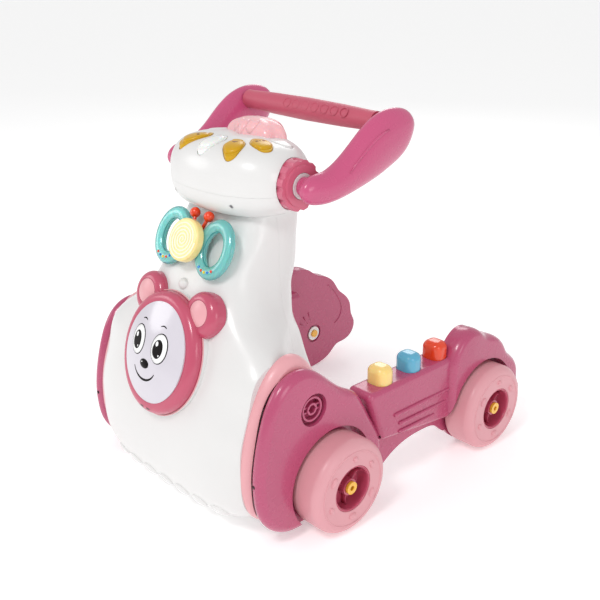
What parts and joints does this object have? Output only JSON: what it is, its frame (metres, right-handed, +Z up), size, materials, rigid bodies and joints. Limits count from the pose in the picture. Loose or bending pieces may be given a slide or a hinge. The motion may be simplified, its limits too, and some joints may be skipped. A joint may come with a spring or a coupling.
{
  "type": "baby walker",
  "caption": "Push-along baby walker: hollow bear-faced body on rolling wheels, console head with petal buttons, spinner, press keys on the legs and a tilting push handle.",
  "frame": {"origin": "on the floor, under the middle of the outline", "axes": "+Z up, -Y is the way the bear looks and +Y is towards the child who pushes, X across with the right leg at +X"},
  "size_m": [0.41, 0.5286, 0.479],
  "materials": {
    "shell_white": "smooth satin moulded white plastic",
    "shell_pink": "smooth satin moulded dusty dark pink plastic",
    "trim_pink": "smooth satin moulded light pink plastic",
    "tyre_pink": "soft matt light pink plastic",
    "handle_pink": "glossy moulded pink plastic",
    "grip_pink": "matt moulded pink plastic with raised rings",
    "axle_amber": "amber moulded plastic",
    "washer_white": "plain white plastic",
    "face_lilac": "glossy pearl lilac light cover",
    "disc_cream": "glossy cream yellow plastic",
    "wing_teal": "clear glossy teal plastic",
    "feeler_red": "glossy red orange plastic",
    "petal_yellow": "glossy deep yellow plastic",
    "key_yellow": "glossy warm yellow plastic",
    "key_blue": "glossy blue plastic",
    "key_red": "glossy red orange plastic",
    "board_green": "circuit board laminate",
    "cell_grey": "wrapped dry cell",
    "speaker_black": "black speaker cone and magnet can"
  },
  "bodies": {
    "body": {"body_front_shell": "shell_white", "body_rear_shell": "shell_white", "battery_door": "shell_white", "battery_cells": "cell_grey", "circuit_board": "board_green", "head_upper_shell": "shell_white", "head_lower_shell": "shell_white", "flower_cover": "trim_pink", "petal_lamp": "shell_white", "speaker": "speaker_black", "bear_bezel": "shell_pink", "bear_face": "face_lilac", "ear_pad_right": "trim_pink", "ear_pad_left": "trim_pink", "spinner_hub": "wing_teal", "spinner_wing_right": "wing_teal", "spinner_wing_left": "wing_teal", "spinner_feelers": "feeler_red", "side_trim_right": "trim_pink", "front_fender_right": "shell_pink", "leg_socket_right": "shell_pink", "leg_cover_right": "shell_pink", "leg_plate_right": "shell_pink", "axle_pin_front_right": "axle_amber", "axle_washer_front_right": "washer_white", "axle_pin_rear_right": "axle_amber", "axle_washer_rear_right": "washer_white", "side_trim_left": "trim_pink", "front_fender_left": "shell_pink", "leg_socket_left": "shell_pink", "leg_cover_left": "shell_pink", "leg_plate_left": "shell_pink", "axle_pin_front_left": "axle_amber", "axle_washer_front_left": "washer_white", "axle_pin_rear_left": "axle_amber", "axle_washer_rear_left": "washer_white"},
    "wheel_front_right": {"tyre_front_right": "tyre_pink", "hub_front_right": "shell_pink"},
    "wheel_rear_right": {"tyre_rear_right": "tyre_pink", "hub_rear_right": "shell_pink"},
    "collar_right": {"collar_right": "handle_pink"},
    "key_right_1": {"key_right_1": "key_yellow"},
    "key_right_2": {"key_right_2": "key_blue"},
    "key_right_3": {"key_right_3": "key_red"},
    "wheel_front_left": {"tyre_front_left": "tyre_pink", "hub_front_left": "shell_pink"},
    "wheel_rear_left": {"tyre_rear_left": "tyre_pink", "hub_rear_left": "shell_pink"},
    "collar_left": {"collar_left": "handle_pink"},
    "key_left_1": {"key_left_1": "key_yellow"},
    "key_left_2": {"key_left_2": "key_blue"},
    "key_left_3": {"key_left_3": "key_red"},
    "handle": {"handle_arm_right": "handle_pink", "handle_arm_left": "handle_pink", "handle_grip": "grip_pink"},
    "petal_key_1": {"petal_key_1": "petal_yellow"},
    "petal_key_2": {"petal_key_2": "petal_yellow"},
    "petal_key_3": {"petal_key_3": "petal_yellow"},
    "spiral_disc": {"spinner_disc": "disc_cream"}
  },
  "joints": [
    {"name": "roll_front_right", "type": "hinge", "parent": "body", "child": "wheel_front_right", "pos_m": [0.183, -0.11758, 0.06], "axis": [-1, 0, 0], "continuous": true},
    {"name": "roll_rear_right", "type": "hinge", "parent": "body", "child": "wheel_rear_right", "pos_m": [0.183, 0.16842, 0.06], "axis": [-1, 0, 0], "continuous": true},
    {"name": "collar_turn_right", "type": "hinge", "parent": "body", "child": "collar_right", "pos_m": [0.095, -0.10358, 0.403], "axis": [1, 0, 0], "range_deg": [0, 60]},
    {"name": "press_key_right_1", "type": "slide", "parent": "body", "child": "key_right_1", "axis": [0, 0, -1], "range_m": [0, 0.004], "stiffness_N_per_m": 400},
    {"name": "press_key_right_2", "type": "slide", "parent": "body", "child": "key_right_2", "axis": [0, 0, -1], "range_m": [0, 0.004], "stiffness_N_per_m": 400},
    {"name": "press_key_right_3", "type": "slide", "parent": "body", "child": "key_right_3", "axis": [0, 0, -1], "range_m": [0, 0.004], "stiffness_N_per_m": 400},
    {"name": "roll_front_left", "type": "hinge", "parent": "body", "child": "wheel_front_left", "pos_m": [-0.183, -0.11758, 0.06], "axis": [-1, 0, 0], "continuous": true},
    {"name": "roll_rear_left", "type": "hinge", "parent": "body", "child": "wheel_rear_left", "pos_m": [-0.183, 0.16842, 0.06], "axis": [-1, 0, 0], "continuous": true},
    {"name": "collar_turn_left", "type": "hinge", "parent": "body", "child": "collar_left", "pos_m": [-0.095, -0.10358, 0.403], "axis": [-1, 0, 0], "range_deg": [0, 60]},
    {"name": "press_key_left_1", "type": "slide", "parent": "body", "child": "key_left_1", "axis": [0, 0, -1], "range_m": [0, 0.004], "stiffness_N_per_m": 400},
    {"name": "press_key_left_2", "type": "slide", "parent": "body", "child": "key_left_2", "axis": [0, 0, -1], "range_m": [0, 0.004], "stiffness_N_per_m": 400},
    {"name": "press_key_left_3", "type": "slide", "parent": "body", "child": "key_left_3", "axis": [0, 0, -1], "range_m": [0, 0.004], "stiffness_N_per_m": 400},
    {"name": "handle_tilt", "type": "hinge", "parent": "body", "child": "handle", "pos_m": [0, -0.10358, 0.403], "axis": [1, 0, 0], "range_deg": [-25, 35]},
    {"name": "press_petal_key_1", "type": "slide", "parent": "body", "child": "petal_key_1", "axis": [0, 0, -1], "range_m": [0, 0.0015], "stiffness_N_per_m": 400},
    {"name": "press_petal_key_2", "type": "slide", "parent": "body", "child": "petal_key_2", "axis": [0, 0, -1], "range_m": [0, 0.0015], "stiffness_N_per_m": 400},
    {"name": "press_petal_key_3", "type": "slide", "parent": "body", "child": "petal_key_3", "axis": [0, 0, -1], "range_m": [0, 0.0015], "stiffness_N_per_m": 400},
    {"name": "disc_spin", "type": "hinge", "parent": "body", "child": "spiral_disc", "pos_m": [0, -0.19183, 0.33514], "axis": [0, -0.9063, 0.4226], "continuous": true}
  ]
}
